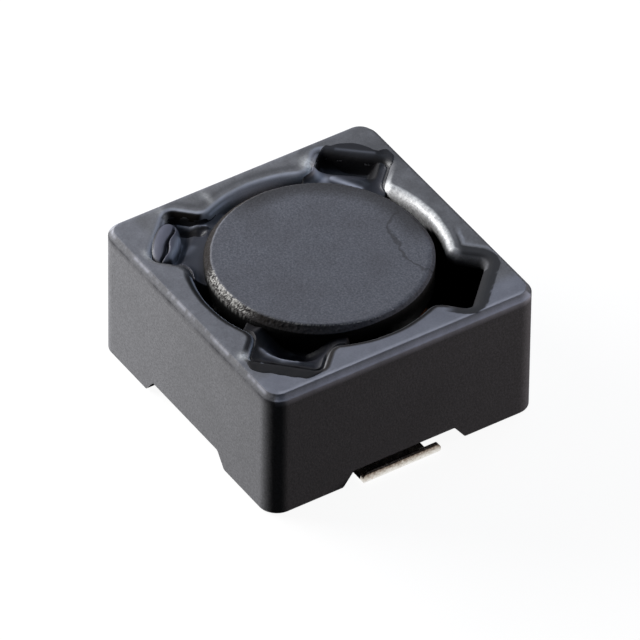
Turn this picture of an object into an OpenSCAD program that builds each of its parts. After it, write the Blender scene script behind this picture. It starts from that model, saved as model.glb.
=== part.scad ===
// Shielded surface-mount power inductor: a wound ferrite drum core, standing on a moulded
// base with two tinned terminals, glued inside a square ferrite shield ring.
// Millimetres. Origin on the board, under the middle of the ring. +Z up, terminals at +X and -X.

/* [Drum core] */
// Radius of the two flanges
drum_r = 4.57; // [4:0.01:5.5]
// Height by which the drum stands above the shield ring
drum_proud = 0.28; // [0:0.02:0.6]
// Chamfer on the upper rim
drum_rim = 0.3; // [0.1:0.05:0.5]
// Thickness of the upper flange
top_flange_t = 1.28; // [0.8:0.02:1.6]
// Thickness of the lower flange
low_flange_t = 1.1; // [1:0.05:1.5]

/* [Shield ring] */
// Height of the ring
shield_h = 6; // [5.4:0.1:8]
// Height of the ring's feet above the board
standoff = 0.1; // [0.06:0.01:0.18]
// Air gap between the drum and the bore
drum_gap = 0.46; // [0.3:0.02:0.7]
// Wall between the bore and the flat sides, where it is thinnest
shield_wall = 1.22; // [1:0.02:1.6]
// Radius of the four vertical corners
corner_r = 0.8; // [0.4:0.05:1.2]
// Chamfer along the upper outer edges
top_chamfer = 0.25; // [0.1:0.05:0.4]
// Radius of the rolled-over edge round the bore and the pockets
rim_roll = 0.41; // [0.2:0.01:0.5]

/* [Glue pockets] */
// Width of a pocket across the diagonal
pocket_w = 2.8; // [2.2:0.1:3.2]
// Distance from the ring's sharp corner to the pocket's end wall, along the diagonal
pocket_edge = 2.45; // [2.3:0.05:2.7]
// Radius of the pocket's two outer corners
pocket_corner_r = 0.25; // [0.15:0.05:0.5]
// Radius that blends a pocket into the bore
neck_r = 0.75; // [0.6:0.05:1]

/* [Notches] */
// Width of the notch under each side, along its flat top
notch_w = 4.72; // [4.4:0.02:5.2]
// Height of the notch
notch_h = 0.66; // [0.6:0.02:0.9]
// Run of the sloping end of a notch
notch_slope = 0.49; // [0.3:0.01:0.7]
// Radius at the corners of a notch
notch_round = 0.15; // [0.05:0.01:0.2]

/* [Base] */
// Thickness of the moulded base
base_h = 0.7; // [0.6:0.05:1]
// Clearance of the base in the bore
base_clear = 0.15; // [0.05:0.01:0.3]

/* [Terminals] */
// Thickness of the tinned strip
strip_t = 0.2; // [0.19:0.01:0.3]
// Distance by which the turned-up lip stands out from the shield
lip_reach = 0.26; // [0.1:0.02:0.4]
// Height of the lip above the board
lip_h = 0.58; // [0.5:0.01:0.7]
// Width of the lip
lip_w = 3.66; // [3.4:0.02:3.9]
// Width of the pad that runs under the base
pad_w = 3.2; // [2.6:0.05:3.6]
// Length of the pad, from the lip to its inner end
pad_l = 3.45; // [3.2:0.05:3.8]
// Sideways shift of the lip from the middle of the notch
lip_shift = 0.28; // [0:0.02:0.4]
// Inner radius of the bend
bend_inner = 0.05; // [0.03:0.01:0.15]

/* [Winding] */
// Pairs of layers, one wound down and one wound back up
layer_pairs = 2; // [1:1:2]
// Diameter of the enamelled wire
wire_d = 0.5; // [0.38:0.01:0.56]
// Clearance between neighbouring turns
wire_gap = 0.02; // [0.01:0.005:0.06]
// Depth left free between the last layer and the flange edge
wind_margin = 0.29; // [0.2:0.01:0.4]
// Clearance each side of a lead in its slot
lead_clear = 0.2; // [0.12:0.01:0.25]
// Height of the solder fillet at a lead
solder_h = 0.35; // [0.2:0.05:0.4]
// Thickness of the solder at the top of the fillet
solder_lip = 0.05; // [0.03:0.01:0.1]

/* [Adhesive] */
// Depth of the adhesive below the top of the shield ring
glue_depth = 1.2; // [1.05:0.05:1.8]
// Length of the bead with the seam
bead_l = 2.4; // [2:0.05:2.6]
// Radius of the bead's two lips
bead_r = 0.36; // [0.3:0.01:0.4]
// Distance between the middles of the two lips
seam_w = 0.44; // [0.3:0.02:0.5]
// Height of the bead above the shield ring
bead_proud = 0.1; // [0:0.02:0.14]
// Distance by which the bead laps over the pocket's end wall
bead_lap = 0.3; // [0.1:0.02:0.36]
// Sideways shift of the bead from the middle of the pocket
bead_shift = 0.25; // [0:0.05:0.3]
// Radius of the hollow beside the bead
hollow_r = 0.36; // [0.2:0.02:0.4]
// Depth of the hollow below the adhesive round it
hollow_depth = 0.4; // [0.1:0.05:0.5]
// Width of the ridge that the rear adhesive leaves against the drum
ridge_w = 0.85; // [0.6:0.05:1.2]
// Thickness of the rear adhesive behind its ridge
pit_floor = 0.25; // [0.1:0.05:0.6]
// Height of the front adhesive's low crown
crown = 0.1; // [0.05:0.01:0.2]
// Bare edge between the crown and the pocket's walls
crown_edge = 0.08; // [0.04:0.01:0.12]

/* [Hidden] */
$fn = 96;

bore_r = drum_r + drum_gap;
half_w = bore_r + shield_wall;
shield_top = standoff + shield_h;
roll_z = shield_top - rim_roll;
cut_over = 1;

pocket_end = half_w * sqrt(2) - pocket_edge;
pocket_corner_s = pocket_end - pocket_corner_r;
pocket_corner_t = pocket_w / 2 - pocket_corner_r;
neck_t = pocket_w / 2 + neck_r;
neck_s = sqrt(pow(bore_r + neck_r, 2) - pow(neck_t, 2));

base_top = standoff + base_h;
base_r = bore_r - base_clear;
drum_top = shield_top + drum_proud;
window_low = base_top + low_flange_t;
window_high = drum_top - top_flange_t;

glue_low = shield_top - glue_depth;
glue_skin = 0.01;

bend_r = bend_inner + strip_t;
lip_x = half_w + lip_reach;
pad_x = lip_x - pad_l;
pad_shift = lip_shift + (lip_w - pad_w) / 2;

wire_r = wire_d / 2;
wire_pitch = wire_d + wire_gap;
layers = 2 * layer_pairs;
post_r = drum_r - wind_margin - layers * wire_pitch;
layer_1 = post_r + wire_r + 1.5 * wire_gap;
layer_last = layer_1 + (layers - 1) * wire_pitch;
lead_bend = 2 * wire_r;
slot_w = wire_d + 2 * lead_clear;

// Points along an arc about c, from angle a to angle b
function arc(c, r, a, b, steps = 8) =
    [for (i = [0 : steps]) c + r * [cos(a + (b - a) * i / steps), sin(a + (b - a) * i / steps)]];

// ---- Shield ring ----

module shield_blank() {
    inner = half_w - corner_r;
    for (turn = [0, 90])
        rotate([90, 0, turn])
            linear_extrude(2 * inner, center = true)
                polygon([[-half_w, standoff], [half_w, standoff], [half_w, shield_top - top_chamfer],
                         [half_w - top_chamfer, shield_top], [top_chamfer - half_w, shield_top],
                         [-half_w, shield_top - top_chamfer]]);
    for (x = [-inner, inner], y = [-inner, inner])
        translate([x, y, 0])
            rotate_extrude()
                polygon([[0, standoff], [corner_r, standoff], [corner_r, shield_top - top_chamfer],
                         [corner_r - top_chamfer, shield_top], [0, shield_top]]);
}

// Half section of a hole of radius r whose upper edge is rolled over
module hole_section(r) {
    difference() {
        translate([0, -cut_over]) square([r + rim_roll, shield_top + 2 * cut_over]);
        translate([r, -2 * cut_over]) square([2 * rim_roll, roll_z + 2 * cut_over]);
        translate([r + rim_roll, roll_z]) circle(r = rim_roll);
    }
}

// Half section of the material left standing beside a pocket's mouth
module neck_section() {
    translate([0, -2 * cut_over]) square([neck_r, roll_z + 2 * cut_over]);
    square([neck_r - rim_roll, shield_top]);
    intersection() {
        translate([neck_r - rim_roll, roll_z]) circle(r = rim_roll);
        square([neck_r, shield_top]);
    }
}

module bore_space() {
    rotate_extrude() hole_section(bore_r);
}

// Space of one pocket, with the diagonal along +X
module pocket_space() {
    rotate([90, 0, 90])
        linear_extrude(pocket_corner_s)
            for (side = [0, 1]) mirror([side, 0]) hole_section(pocket_w / 2);
    translate([pocket_corner_s, 0, 0])
        rotate([90, 0, 0])
            linear_extrude(2 * pocket_corner_t, center = true) hole_section(pocket_corner_r);
    for (side = [-1, 1])
        translate([pocket_corner_s, side * pocket_corner_t, 0])
            rotate_extrude() hole_section(pocket_corner_r);
    for (side = [-1, 1])
        difference() {
            translate([0, 0, -cut_over])
                linear_extrude(shield_top + 2 * cut_over)
                    polygon([[0, 0], [neck_s, side * pocket_w / 2], [neck_s, side * neck_t]]);
            translate([neck_s, side * neck_t, 0]) rotate_extrude() neck_section();
        }
}

// Outline of a notch, seen from the side it opens on
module notch_outline() {
    slope = atan2(notch_h, notch_slope);
    foot = notch_round * tan(slope / 2);
    half_top = notch_w / 2;
    half_low = half_top + notch_slope;
    half = concat(
        [[half_low + foot, -cut_over]],
        arc([half_low + foot, notch_round], notch_round, 270, 270 - slope),
        arc([half_top - foot, notch_h - notch_round], notch_round, 90 - slope, 90));
    polygon(concat(half, [for (i = [len(half) - 1 : -1 : 0]) [-half[i].x, half[i].y]]));
}

module shield_ring() {
    color([0.36, 0.37, 0.39])
        difference() {
            shield_blank();
            bore_space();
            for (turn = [45 : 90 : 315]) rotate([0, 0, turn]) pocket_space();
            for (turn = [0, 90])
                translate([0, 0, standoff])
                    rotate([90, 0, turn])
                        linear_extrude(2 * half_w + cut_over, center = true) notch_outline();
        }
}

// ---- Drum core ----

// Slot for a lead through a disc, from the distance x_in out past its edge
module lead_slot(x_in, z_low, z_high) {
    translate([x_in, -slot_w / 2, z_low]) cube([bore_r, slot_w, z_high - z_low]);
}

module drum_core() {
    color([0.27, 0.27, 0.30])
        difference() {
            rotate_extrude()
                polygon([[0, base_top], [drum_r, base_top], [drum_r, window_low], [post_r, window_low],
                         [post_r, window_high], [drum_r, window_high], [drum_r, drum_top - drum_rim],
                         [drum_r - drum_rim, drum_top], [0, drum_top]]);
            lead_slot(layer_1 - slot_w / 2, base_top - cut_over, window_low);
            mirror([1, 0, 0]) lead_slot(layer_last - slot_w / 2, base_top - cut_over, window_low);
        }
}

// ---- Winding: one wire, laid in an even number of layers, with both leads at the bottom ----

run_low = window_low + wire_r + wire_gap;
run_high = window_high - wire_r - wire_gap;
tail_z = strip_t + wire_gap;
cross_angle = 90;

// Angles at which the wire leaves its first dive and enters its last one
dive_1 = lead_bend / layer_1 * 180 / PI;
dive_last = lead_bend / layer_last * 180 / PI;
spare_angle = 180 - dive_1 - dive_last;
turns_fit = (run_high - run_low) / wire_pitch;
whole_turns = floor((layers * turns_fit * 360 + (layers - 1) * cross_angle - spare_angle) / 360);
wound_angle = whole_turns * 360 + spare_angle;
layer_angle = (wound_angle - (layers - 1) * cross_angle) / layers;
stage_angle = layer_angle + cross_angle;

// Layer that the wire is on, and how far through it, after a wound angle w
function stage(w) = min(layers - 1, floor(w / stage_angle));
function progress(w) = w - stage(w) * stage_angle;
function ease(t) = t * t * (3 - 2 * t);
function wound_r(w) =
    layer_1 + wire_pitch * (stage(w) + ease(max(0, progress(w) - layer_angle) / cross_angle));
function wound_share(w) = min(1, progress(w) / layer_angle);
function wound_z(w) =
    run_low + (run_high - run_low) * (stage(w) % 2 == 0 ? wound_share(w) : 1 - wound_share(w));
function on_cylinder(r, angle, z) = [r * cos(angle), r * sin(angle), z];
function wound_point(w) = on_cylinder(wound_r(w), w + dive_1, wound_z(w));

// Quarter bend from vertical into the run of a layer, over the share t
function dive_point(r, sweep, t) =
    on_cylinder(r, sweep * (1 - cos(90 * t)), run_low - lead_bend * (1 - sin(90 * t)));

ring_step = 15;
bend_steps = 5;
solder_x = layer_last;
under_z = (base_top + window_low) / 2 - wire_r;

// Lead of the first layer: up from the terminal, in along the slot, and up to the winding
lead_in = concat(
    [[solder_x, tail_z]],
    arc([solder_x - lead_bend, under_z - lead_bend], lead_bend, 0, 90, bend_steps),
    arc([layer_1 + lead_bend, under_z + lead_bend], lead_bend, 270, 180, bend_steps));
wire_path = concat(
    [for (p = lead_in) [p.x, 0, p.y]],
    [for (i = [0 : bend_steps]) dive_point(layer_1, dive_1, i / bend_steps)],
    [for (a = [ring_step : ring_step : wound_angle + dive_1 - ring_step / 2])
        if (a > dive_1 + ring_step / 3) wound_point(a - dive_1)],
    [for (i = [bend_steps : -1 : 0]) let (p = dive_point(layer_last, -dive_last, i / bend_steps))
        [-p.x, -p.y, p.z]],
    [[-solder_x, 0, tail_z]]);

function unit(v) = v / norm(v);
function across(v, t) = unit(v - (v * t) * t);

// Swept tube: a ring of points square to the path at each of its points
module tube(path, r, sides) {
    last = len(path) - 1;
    tangents = [for (i = [0 : last]) unit(path[min(last, i + 1)] - path[max(0, i - 1)])];
    normals = [for (i = 0, n = across([0, 1, 0], tangents[0]); i <= last;
                    i = i + 1, n = i <= last ? across(n, tangents[i]) : n) n];
    rings = [for (i = [0 : last]) let (n = normals[i], b = cross(tangents[i], n))
             for (k = [0 : sides - 1]) path[i] + r * (cos(360 * k / sides) * n + sin(360 * k / sides) * b)];
    walls = [for (i = [0 : last - 1], k = [0 : sides - 1]) let (m = (k + 1) % sides)
             [i * sides + k, (i + 1) * sides + k, (i + 1) * sides + m, i * sides + m]];
    polyhedron(rings, concat(
        walls,
        [[for (k = [0 : sides - 1]) k]],
        [[for (k = [sides - 1 : -1 : 0]) last * sides + k]]));
}

module winding() {
    color([0.60, 0.30, 0.13]) tube(wire_path, wire_r, 8);
}

// ---- Base ----

module base_plate() {
    well_r = wire_r + solder_h + solder_lip + 2 * base_clear / 3;
    color([0.10, 0.10, 0.11])
        difference() {
            translate([0, 0, standoff]) cylinder(r = base_r, h = base_h);
            for (turn = [0, 180])
                rotate([0, 0, turn]) {
                    translate([pad_x, -pad_shift - pad_w / 2, 0]) cube([pad_l, pad_w, strip_t]);
                    translate([solder_x, 0, 0]) cylinder(r = well_r, h = base_top + cut_over);
                    translate([solder_x, -well_r, 0]) cube([bore_r, 2 * well_r, base_top + cut_over]);
                }
            lead_slot(layer_1 - slot_w / 2, under_z - slot_w / 2, base_top + cut_over);
        }
}

// ---- Terminals ----

// Section of the strip along its length, from the inner end of the pad to the top of the lip
module strip_section() {
    bend_x = lip_x - bend_r;
    polygon(concat(
        [[pad_x, strip_t], [pad_x, 0]],
        arc([bend_x, bend_r], bend_r, -90, 0),
        arc([lip_x - strip_t / 2, lip_h - strip_t / 2], strip_t / 2, 0, 180),
        arc([bend_x, bend_r], bend_r - strip_t, 0, -90)));
}

module terminal() {
    neck_x = lip_x - bend_r;
    color([0.80, 0.79, 0.76])
        intersection() {
            translate([0, -lip_shift, 0])
                rotate([90, 0, 0]) linear_extrude(lip_w, center = true) strip_section();
            linear_extrude(lip_h) {
                translate([pad_x, -pad_shift - pad_w / 2]) square([pad_l, pad_w]);
                translate([neck_x, -lip_shift - lip_w / 2]) square([bend_r, lip_w]);
            }
            translate([pad_x, -lip_shift, 0])
                rotate([90, 0, 90])
                    linear_extrude(pad_l)
                        for (side = [0, 1]) mirror([side, 0]) {
                            square([lip_w / 2 - lip_h / 2, lip_h]);
                            translate([lip_w / 2 - lip_h / 2, lip_h / 2]) circle(d = lip_h);
                        }
        }
}

module terminal_right() {
    terminal();
}

module terminal_left() {
    rotate([0, 0, 180]) terminal();
}

// ---- Solder joints between the leads and the terminals ----

module solder() {
    solder_r = wire_r + solder_lip + solder_h;
    color([0.74, 0.74, 0.72])
        translate([solder_x, 0, strip_t])
            rotate_extrude()
                difference() {
                    translate([wire_r, 0]) square([solder_r - wire_r, solder_h]);
                    translate([solder_r, solder_h]) circle(r = solder_h);
                }
}

module solder_right() {
    solder();
}

module solder_left() {
    rotate([0, 0, 180]) solder();
}

// ---- Adhesive in three of the four pockets ----

// Outline of the adhesive in plan, from inside the drum's edge to the pocket's walls, along +X
module pool_outline() {
    translate([0, -pocket_w / 2]) square([pocket_corner_s, pocket_w]);
    translate([0, -pocket_corner_t]) square([pocket_end, 2 * pocket_corner_t]);
    for (side = [-1, 1])
        translate([pocket_corner_s, side * pocket_corner_t]) circle(r = pocket_corner_r);
}

// Pool of adhesive that fills a pocket up to a level, with the diagonal along +X
module pool(level) {
    difference() {
        translate([0, 0, glue_low]) linear_extrude(level - glue_low) pool_outline();
        translate([0, 0, glue_low - cut_over]) cylinder(r = drum_r, h = shield_h);
    }
}

// Bead that lies across the end of the pocket: two rounded lips with a seam between them
module seamed_bead() {
    lip_l = bead_l / 2 - bead_r;
    for (side = [-1, 1])
        translate([side * seam_w / 2, 0, 0]) {
            rotate([90, 0, 0]) cylinder(r = bead_r, h = 2 * lip_l, center = true);
            for (end = [-lip_l, lip_l])
                translate([0, end, 0]) sphere(r = bead_r);
        }
}

module adhesive_seamed() {
    hollow_t = pocket_w / 2 - hollow_r - crown_edge;
    color([0.07, 0.07, 0.09])
        rotate([0, 0, 225]) {
            difference() {
                pool(roll_z);
                translate([(pocket_end + drum_r) / 2, -hollow_t, roll_z - hollow_depth])
                    cylinder(r = hollow_r, h = glue_depth);
            }
            intersection() {
                translate([pocket_end + bead_lap - seam_w / 2 - bead_r, bead_shift,
                           shield_top + bead_proud - bead_r]) seamed_bead();
                translate([-glue_skin, 0, 0]) pocket_space();
            }
        }
}

module adhesive_rear() {
    color([0.07, 0.07, 0.09])
        rotate([0, 0, 135]) {
            pool(glue_low + pit_floor);
            intersection() {
                pool(roll_z + rim_roll / 4);
                cylinder(r = drum_r + ridge_w, h = shield_top);
            }
        }
}

module adhesive_front() {
    level = roll_z - rim_roll / 2;
    crown_r = (pocket_end - drum_r) / 2 - crown_edge;
    ball_r = (crown_r * crown_r + crown * crown) / (2 * crown);
    color([0.07, 0.07, 0.09])
        rotate([0, 0, 315]) {
            pool(level);
            translate([(pocket_end + drum_r) / 2, 0, level + crown - ball_r])
                rotate_extrude()
                    intersection() {
                        circle(r = ball_r);
                        translate([0, ball_r - 2 * crown]) square([ball_r, 2 * crown]);
                    }
        }
}

shield_ring();
drum_core();
winding();
base_plate();
terminal_right();
terminal_left();
solder_right();
solder_left();
adhesive_seamed();
adhesive_rear();
adhesive_front();
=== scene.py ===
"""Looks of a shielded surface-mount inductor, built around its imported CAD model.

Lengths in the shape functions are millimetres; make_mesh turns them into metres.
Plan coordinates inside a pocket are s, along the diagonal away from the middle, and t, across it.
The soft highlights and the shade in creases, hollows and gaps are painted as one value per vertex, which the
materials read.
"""

import math
from collections import namedtuple
from types import SimpleNamespace

import bmesh
import bpy
import numpy as np
from mathutils import Matrix, Vector


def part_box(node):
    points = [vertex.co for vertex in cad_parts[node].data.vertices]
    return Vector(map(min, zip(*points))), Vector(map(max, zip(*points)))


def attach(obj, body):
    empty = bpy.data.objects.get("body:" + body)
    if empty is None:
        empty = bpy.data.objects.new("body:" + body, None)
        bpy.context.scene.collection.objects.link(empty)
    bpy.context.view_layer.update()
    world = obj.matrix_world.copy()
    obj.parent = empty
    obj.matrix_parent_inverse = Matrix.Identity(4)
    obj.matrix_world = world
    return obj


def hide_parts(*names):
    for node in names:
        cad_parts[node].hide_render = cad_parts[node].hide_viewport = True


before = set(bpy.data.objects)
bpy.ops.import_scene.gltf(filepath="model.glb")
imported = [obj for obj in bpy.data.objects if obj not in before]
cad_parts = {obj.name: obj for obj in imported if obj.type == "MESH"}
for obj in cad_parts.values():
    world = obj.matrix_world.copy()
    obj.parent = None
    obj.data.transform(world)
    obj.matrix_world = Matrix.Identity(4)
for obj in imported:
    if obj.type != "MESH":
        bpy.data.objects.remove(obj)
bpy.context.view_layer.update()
MM = 0.001


def corner_mm(node, which):
    """Lowest (0) or highest (1) corner of a CAD node, in millimetres."""
    return np.array(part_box(node)[which]) / MM


# ---- Sizes, from the frame and from the part's own values ----

HALF_W = corner_mm("shield_ring", 1)[0]
SHIELD_TOP = corner_mm("shield_ring", 1)[2]
STANDOFF = corner_mm("shield_ring", 0)[2]
DRUM_R = corner_mm("drum_core", 1)[0]
DRUM_TOP = corner_mm("drum_core", 1)[2]
DRUM_LOW = corner_mm("drum_core", 0)[2]
LIP_H = corner_mm("terminal_right", 1)[2]

BORE_GAP = 0.46
BORE_R = DRUM_R + BORE_GAP
CORNER_R = 0.8
TOP_CHAMFER = 0.25
CHAMFER_SOFT = 0.22
RIM_ROLL = 0.41
POCKET_W = 2.8
POCKET_END = HALF_W * math.sqrt(2) - 2.45
POCKET_CORNER_R = 0.25
NECK_R = 0.75
NOTCH_W = 4.72
NOTCH_H = 0.66
NOTCH_SLOPE = 0.49
NOTCH_ROUND = 0.15

DRUM_RIM = 0.30
DRUM_EDGE = 0.05
LOW_FLANGE = 1.1
TOP_FLANGE = 1.28
POST_R = 2.2
AXIS_R = 0.02

WIRE_R = 0.25
WIRE_GAP = 0.02
WIRE_LAYERS = 4
WIRE_SHRINK = 0.002
WIND_MARGIN = 0.29
LEAD_LOW = 0.22

PHOTO_PX = 640
CAMERA_AZIMUTH = 56.652
CAMERA_ELEVATION = 40.891
CAMERA_ROLL = 0.695
CAMERA_DISTANCE = 488.77
CAMERA_TARGET_Z = 3.2
CAMERA_SENSOR = 36
CAMERA_FOCAL_PX = 12379.9
CAMERA_AXIS_PX = (318.713, 314.247)
LIGHT_DISTANCE = 90
FLOOR_HALF_M = 1.5


# ---- Small helpers ----

def noise_1d(n, cells, seed):
    """Smooth closed noise of n samples with about the given number of bumps, between -1 and 1."""
    rng = np.random.default_rng(seed)
    t = np.arange(n) / n * 2 * math.pi
    total = np.zeros(n)
    for k in range(1, cells + 1):
        a, b = rng.normal(size=2)
        total += a * np.cos(k * t) + b * np.sin(k * t)
    return total / max(1e-9, np.abs(total).max())


def smooth(a, b, x):
    """Smooth step from 0 at a to 1 at b."""
    t = np.clip((x - a) / (b - a), 0, 1)
    return t * t * (3 - 2 * t)


def between(x, rise, fall):
    """1 between two stretches, with a smooth step up over the first and down over the second."""
    return smooth(*rise, x) * smooth(fall[1], fall[0], x)


def bell(x, centre, width):
    """1 at a centre, falling off on both sides."""
    return np.exp(-((x - centre) / width) ** 2)


def make_mesh(name, points, faces, smooth_angle=40):
    """New object from points in millimetres and faces, shaded smooth below an edge angle."""
    mesh = bpy.data.meshes.new(name)
    mesh.from_pydata([tuple(p) for p in np.asarray(points) * MM], [], [tuple(f) for f in faces])
    mesh.validate()
    obj = bpy.data.objects.new(name, mesh)
    bpy.context.scene.collection.objects.link(obj)
    shade(obj, smooth_angle)
    return obj


def shade(obj, smooth_angle):
    """Recalculates normals, shades smooth and marks the edges sharper than an angle."""
    mesh = obj.data
    bm = bmesh.new()
    bm.from_mesh(mesh)
    bmesh.ops.recalc_face_normals(bm, faces=bm.faces)
    bm.to_mesh(mesh)
    bm.free()
    mesh.shade_smooth()
    mesh.set_sharp_from_angle(angle=math.radians(smooth_angle))


def ring_faces(rings, n):
    """Quads between successive closed rings of n points each."""
    faces = []
    for r in range(rings - 1):
        for i in range(n):
            j = (i + 1) % n
            faces.append((r * n + i, r * n + j, (r + 1) * n + j, (r + 1) * n + i))
    return faces


def cut(obj, tool):
    """Takes a tool object away from obj, and deletes the tool."""
    mod = obj.modifiers.new("cut", "BOOLEAN")
    mod.operation = "DIFFERENCE"
    mod.solver = "EXACT"
    mod.object = tool
    graph = bpy.context.evaluated_depsgraph_get()
    mesh = bpy.data.meshes.new_from_object(obj.evaluated_get(graph))
    obj.modifiers.clear()
    old = obj.data
    obj.data = mesh
    mesh.name = obj.name
    bpy.data.meshes.remove(old)
    bpy.data.objects.remove(tool)


def paint(obj, name, values):
    """Stores one float per vertex, for the materials to read."""
    attr = obj.data.attributes.new(name, "FLOAT", "POINT")
    attr.data.foreach_set("value", np.asarray(values, dtype=np.float32))


def vertices_mm(obj):
    """Vertices of an object, in millimetres."""
    co = np.empty(len(obj.data.vertices) * 3)
    obj.data.vertices.foreach_get("co", co)
    return co.reshape(-1, 3) / MM


def vertex_normals(obj):
    """Unit normals at the vertices of an object."""
    normal = np.empty(len(obj.data.vertices) * 3)
    obj.data.vertices.foreach_get("normal", normal)
    return normal.reshape(-1, 3)


# ---- Outlines ----

def pocket_outline():
    """One quarter of the hole's wall, about a diagonal along +X: points, and normals into the wall."""
    neck_t = POCKET_W / 2 + NECK_R
    neck_s = math.sqrt((BORE_R + NECK_R) ** 2 - neck_t ** 2)
    neck_angle = math.atan2(neck_t, neck_s)
    corner_s = POCKET_END - POCKET_CORNER_R
    corner_t = POCKET_W / 2 - POCKET_CORNER_R
    points, normals = [], []

    def add(p, n):
        """Adds a point of the outline and its normal."""
        points.append(p)
        normals.append(n)

    for a in np.linspace(-math.pi / 4, -neck_angle, 26)[:-1]:
        d = np.array([math.cos(a), math.sin(a)])
        add(BORE_R * d, d)
    for a in np.linspace(math.pi - neck_angle, math.pi / 2, 22)[:-1]:
        d = np.array([math.cos(a), math.sin(a)])
        add(np.array([neck_s, -neck_t]) + NECK_R * d, -d)
    for s in np.linspace(neck_s, corner_s, 12)[:-1]:
        add(np.array([s, -POCKET_W / 2]), np.array([0.0, -1.0]))
    for a in np.linspace(-math.pi / 2, 0, 12)[:-1]:
        d = np.array([math.cos(a), math.sin(a)])
        add(np.array([corner_s, -corner_t]) + POCKET_CORNER_R * d, d)
    for t in np.linspace(-corner_t, 0, 18)[:-1]:
        add(np.array([POCKET_END, t]), np.array([1.0, 0.0]))
    half = len(points)
    add(np.array([POCKET_END, 0.0]), np.array([1.0, 0.0]))
    for i in range(half - 1, 0, -1):
        add(points[i] * [1, -1], normals[i] * [1, -1])
    return np.array(points), np.array(normals)


def hole_outline():
    """The whole hole's wall, round all four pockets, anticlockwise."""
    quarter_p, quarter_n = pocket_outline()
    points, normals = [], []
    for k in range(4):
        a = math.pi / 4 + k * math.pi / 2
        turn = np.array([[math.cos(a), math.sin(a)], [-math.sin(a), math.cos(a)]])
        points.append(quarter_p @ turn)
        normals.append(quarter_n @ turn)
    return np.vstack(points), np.vstack(normals)


def square_reach(directions, half, radius):
    """Distance from the middle to a rounded square's outline, along unit directions."""
    low = np.zeros(len(directions))
    high = np.full(len(directions), half * 1.5)
    for _ in range(40):
        mid = (low + high) / 2
        p = np.abs(directions * mid[:, None])
        q = np.maximum(p - (half - radius), 0)
        inside = (np.hypot(q[:, 0], q[:, 1]) <= radius) & (p.max(1) <= half)
        low = np.where(inside, mid, low)
        high = np.where(inside, high, mid)
    return low


def into_pocket(points):
    """Pocket coordinates s and t of points in the part's frame."""
    angle = np.arctan2(points[:, 1], points[:, 0])
    radius = np.hypot(points[:, 0], points[:, 1])
    folded = (angle % (math.pi / 2)) - math.pi / 4
    return radius * np.cos(folded), radius * np.sin(folded)


# ---- Shield ring ----

def build_shield():
    """Ring with a rolled rim round its hole, a chamfered top and a low notch in each side."""
    hole, into = hole_outline()
    n = len(hole)
    rings = []

    def ring(xy, z):
        """Adds a ring of points at a height."""
        rings.append(np.column_stack([xy, np.broadcast_to(z, n)]))

    def outer(inset):
        """Outline of the square drawn in by an inset, one point for each point of the rim."""
        return direction * square_reach(direction, HALF_W - inset, CORNER_R - inset)[:, None]

    # The rim's radius wanders only where no adhesive laps over it
    bare = np.maximum(smooth(BORE_R + 0.6, BORE_R + 0.1, np.linalg.norm(hole, axis=1)), hole.min(1) > 0)
    roll = RIM_ROLL * (1 + bare * (0.07 * noise_1d(n, 14, 3) + 0.06 * noise_1d(n, 60, 4)))
    for z in (STANDOFF, STANDOFF + 1.4, STANDOFF + 3.2):
        ring(hole, z)
    for depth in (1.0, 0.85, 0.7, 0.55):
        ring(hole, SHIELD_TOP - depth)
    for a in np.linspace(0, math.pi / 2, 13):
        ring(hole + into * (roll * (1 - math.cos(a)))[:, None], SHIELD_TOP - roll + roll * math.sin(a))
    rim = rings[-1][:, :2]
    direction = rim / np.linalg.norm(rim, axis=1)[:, None]
    chamfer_top = outer(TOP_CHAMFER)
    flat_w = np.linalg.norm(chamfer_top - rim, axis=1)
    for reach in (0.06, 0.12, 0.18, 0.24, 0.30, 0.36, 0.44, 0.55):
        ring(rim + direction * np.minimum(reach, 0.6 * flat_w)[:, None], SHIELD_TOP)
    for share in (0.7, 0.85, 0.97):
        ring(rim + (chamfer_top - rim) * share, SHIELD_TOP)
    for share, drop in chamfer_profile():
        ring(outer(TOP_CHAMFER * (1 - share)), SHIELD_TOP - TOP_CHAMFER * drop)
    for z in np.linspace(SHIELD_TOP - 2 * TOP_CHAMFER, STANDOFF, 6):
        ring(outer(0), z)
    faces = ring_faces(len(rings), n)
    last = (len(rings) - 1) * n
    faces += [(last + i, last + (i + 1) % n, (i + 1) % n, i) for i in range(n)]
    obj = make_mesh("shield_body", np.vstack(rings), faces)
    for turn in (0, 90):
        cut(obj, notch_tool(turn))
    shade(obj, 40)
    at = ring_places(obj)
    paint_rim(obj, at)
    paint_top(obj, at)
    return obj


def chamfer_profile():
    """Shares of the way out and down along the chamfer, with both its edges softened."""
    upper = [(CHAMFER_SOFT * math.sin(a), CHAMFER_SOFT * (1 - math.cos(a)))
             for a in np.linspace(0, math.pi / 4, 5)]
    middle = [(share, share) for share in np.linspace(0.25, 0.75, 5)]
    return upper + middle + [(1 - drop, 1 - share) for share, drop in reversed(upper)]


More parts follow.
